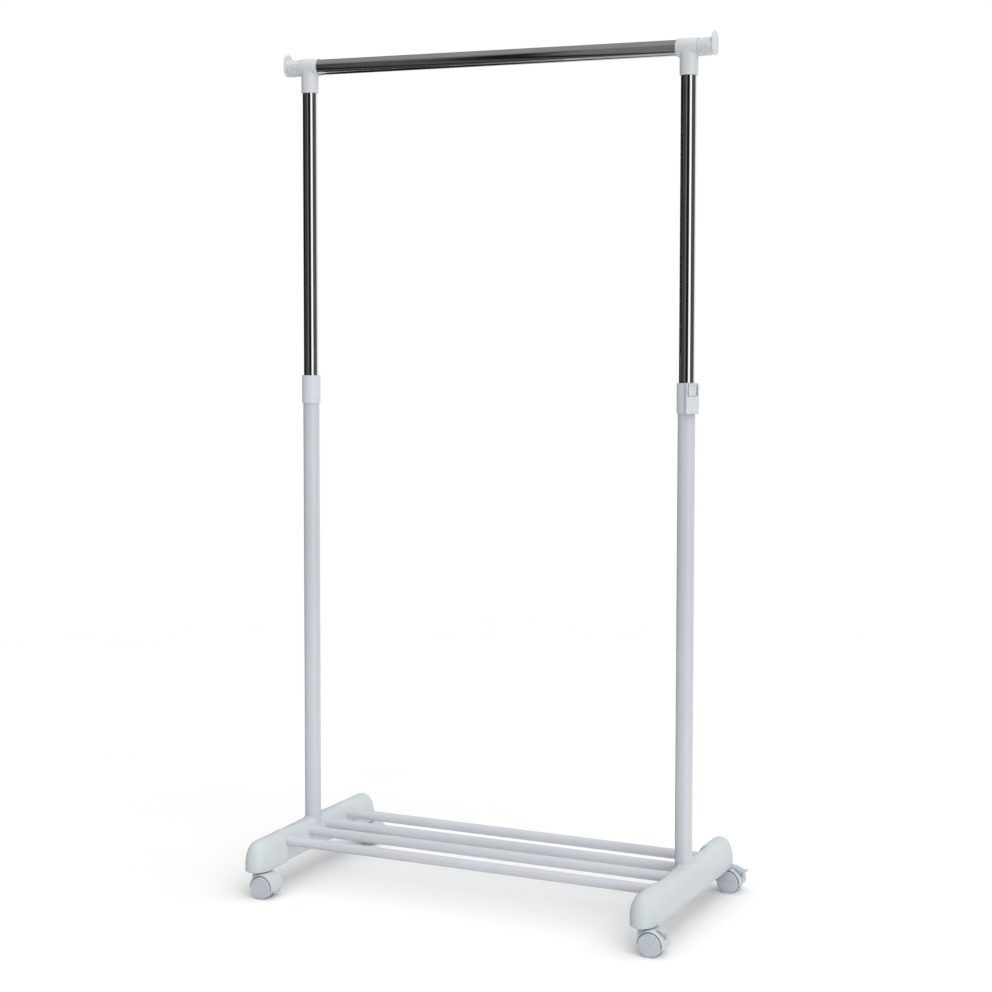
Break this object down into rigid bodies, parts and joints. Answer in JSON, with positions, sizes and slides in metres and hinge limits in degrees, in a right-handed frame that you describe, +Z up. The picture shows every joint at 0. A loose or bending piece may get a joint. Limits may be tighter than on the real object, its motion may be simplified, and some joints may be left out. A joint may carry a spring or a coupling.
{
  "type": "rolling clothes rack",
  "caption": "Rolling clothes rack: chrome hanging rail on telescopic uprights with clamp collars, moulded feet on twin-wheel casters, and a low shelf of tubes.",
  "frame": {"origin": "on the floor, midway between the two uprights and midway between the front and rear casters", "axes": "+X along the hanging rail, towards the side with the braked casters; +Y to the back; +Z up"},
  "size_m": [0.8405, 0.442, 1.527],
  "materials": {
    "foot_plastic": "fine moulded texture",
    "white_powder_coat": "satin powder coat",
    "chrome_tube": "bright chrome plate",
    "fitting_plastic": "satin moulded",
    "collar_plastic": "satin moulded",
    "caster_plastic": "semi gloss moulded",
    "wheel_plastic": "semi gloss moulded",
    "pad_rubber": "moulded rubber",
    "bush_plastic": "natural nylon",
    "insert_plastic": "moulded",
    "zinc_steel": "zinc plated"
  },
  "bodies": {
    "base": {"foot_left": "foot_plastic", "foot_right": "foot_plastic", "tube_inserts": "insert_plastic", "upright_bolts": "zinc_steel", "shelf_screws": "zinc_steel", "shelf_tube_1": "white_powder_coat", "shelf_tube_2": "white_powder_coat", "shelf_tube_3": "white_powder_coat", "shelf_tube_4": "white_powder_coat", "lower_tube_left": "white_powder_coat", "lower_tube_right": "white_powder_coat", "collar_left": "collar_plastic", "collar_right": "collar_plastic", "clamp_pad_left": "pad_rubber", "clamp_pad_right": "pad_rubber", "lever_pin_left": "zinc_steel", "lever_pin_right": "zinc_steel", "lock_spring_left": "zinc_steel", "lock_spring_right": "zinc_steel", "stem_sleeve_front_left": "bush_plastic", "stem_sleeve_front_right": "bush_plastic", "stem_sleeve_rear_left": "bush_plastic", "stem_sleeve_rear_right": "bush_plastic"},
    "upper_frame": {"upper_tube_left": "chrome_tube", "upper_tube_right": "chrome_tube", "glide_bush_left": "bush_plastic", "glide_bush_right": "bush_plastic", "tee_left": "fitting_plastic", "tee_right": "fitting_plastic", "hanging_rail": "chrome_tube", "end_stop_left": "fitting_plastic", "end_stop_right": "fitting_plastic"},
    "lock_lever_left": {"lock_lever_left": "collar_plastic"},
    "lock_lever_right": {"lock_lever_right": "collar_plastic"},
    "caster_front_left": {"stem_front_left": "zinc_steel", "hood_front_left": "caster_plastic", "axle_front_left": "zinc_steel"},
    "wheel_a_front_left": {"wheel_a_front_left": "wheel_plastic"},
    "wheel_b_front_left": {"wheel_b_front_left": "wheel_plastic"},
    "caster_front_right": {"stem_front_right": "zinc_steel", "hood_front_right": "caster_plastic", "axle_front_right": "zinc_steel", "brake_pin_front": "zinc_steel"},
    "wheel_a_front_right": {"wheel_a_front_right": "wheel_plastic"},
    "wheel_b_front_right": {"wheel_b_front_right": "wheel_plastic"},
    "brake_front": {"brake_lever_front": "caster_plastic"},
    "caster_rear_left": {"stem_rear_left": "zinc_steel", "hood_rear_left": "caster_plastic", "axle_rear_left": "zinc_steel"},
    "wheel_a_rear_left": {"wheel_a_rear_left": "wheel_plastic"},
    "wheel_b_rear_left": {"wheel_b_rear_left": "wheel_plastic"},
    "caster_rear_right": {"stem_rear_right": "zinc_steel", "hood_rear_right": "caster_plastic", "axle_rear_right": "zinc_steel", "brake_pin_rear": "zinc_steel"},
    "wheel_a_rear_right": {"wheel_a_rear_right": "wheel_plastic"},
    "wheel_b_rear_right": {"wheel_b_rear_right": "wheel_plastic"},
    "brake_rear": {"brake_lever_rear": "caster_plastic"}
  },
  "joints": [
    {"name": "height_slide", "type": "slide", "parent": "base", "child": "upper_frame", "axis": [0, 0, 1], "range_m": [-0.515, 0.09]},
    {"name": "lock_left_press", "type": "hinge", "parent": "base", "child": "lock_lever_left", "pos_m": [-0.38103, 0.01736, 0.899], "axis": [0.866, 0.5, 0], "range_deg": [0, 5], "stiffness_Nm_per_rad": 0.06, "springref_deg": -17.19},
    {"name": "lock_right_press", "type": "hinge", "parent": "base", "child": "lock_lever_right", "pos_m": [0.38518, -0.01418, 0.899], "axis": [-0.7071, -0.7071, 0], "range_deg": [0, 5], "stiffness_Nm_per_rad": 0.06, "springref_deg": -17.19},
    {"name": "swivel_front_left", "type": "hinge", "parent": "base", "child": "caster_front_left", "pos_m": [-0.372, -0.198, 0.06], "axis": [0, 0, 1], "continuous": true},
    {"name": "roll_a_front_left", "type": "hinge", "parent": "caster_front_left", "child": "wheel_a_front_left", "pos_m": [-0.353, -0.198, 0.02], "axis": [0, 1, 0], "continuous": true},
    {"name": "roll_b_front_left", "type": "hinge", "parent": "caster_front_left", "child": "wheel_b_front_left", "pos_m": [-0.353, -0.198, 0.02], "axis": [0, 1, 0], "continuous": true},
    {"name": "swivel_front_right", "type": "hinge", "parent": "base", "child": "caster_front_right", "pos_m": [0.372, -0.198, 0.06], "axis": [0, 0, 1], "continuous": true},
    {"name": "roll_a_front_right", "type": "hinge", "parent": "caster_front_right", "child": "wheel_a_front_right", "pos_m": [0.391, -0.198, 0.02], "axis": [0, 1, 0], "continuous": true},
    {"name": "roll_b_front_right", "type": "hinge", "parent": "caster_front_right", "child": "wheel_b_front_right", "pos_m": [0.391, -0.198, 0.02], "axis": [0, 1, 0], "continuous": true},
    {"name": "brake_front_press", "type": "hinge", "parent": "caster_front_right", "child": "brake_front", "pos_m": [0.402, -0.198, 0.0325], "axis": [0, 1, 0], "range_deg": [0, 10]},
    {"name": "swivel_rear_left", "type": "hinge", "parent": "base", "child": "caster_rear_left", "pos_m": [-0.372, 0.198, 0.06], "axis": [0, 0, 1], "continuous": true},
    {"name": "roll_a_rear_left", "type": "hinge", "parent": "caster_rear_left", "child": "wheel_a_rear_left", "pos_m": [-0.353, 0.198, 0.02], "axis": [0, 1, 0], "continuous": true},
    {"name": "roll_b_rear_left", "type": "hinge", "parent": "caster_rear_left", "child": "wheel_b_rear_left", "pos_m": [-0.353, 0.198, 0.02], "axis": [0, 1, 0], "continuous": true},
    {"name": "swivel_rear_right", "type": "hinge", "parent": "base", "child": "caster_rear_right", "pos_m": [0.372, 0.198, 0.06], "axis": [0, 0, 1], "continuous": true},
    {"name": "roll_a_rear_right", "type": "hinge", "parent": "caster_rear_right", "child": "wheel_a_rear_right", "pos_m": [0.391, 0.198, 0.02], "axis": [0, 1, 0], "continuous": true},
    {"name": "roll_b_rear_right", "type": "hinge", "parent": "caster_rear_right", "child": "wheel_b_rear_right", "pos_m": [0.391, 0.198, 0.02], "axis": [0, 1, 0], "continuous": true},
    {"name": "brake_rear_press", "type": "hinge", "parent": "caster_rear_right", "child": "brake_rear", "pos_m": [0.402, 0.198, 0.0325], "axis": [0, 1, 0], "range_deg": [0, 10]}
  ]
}
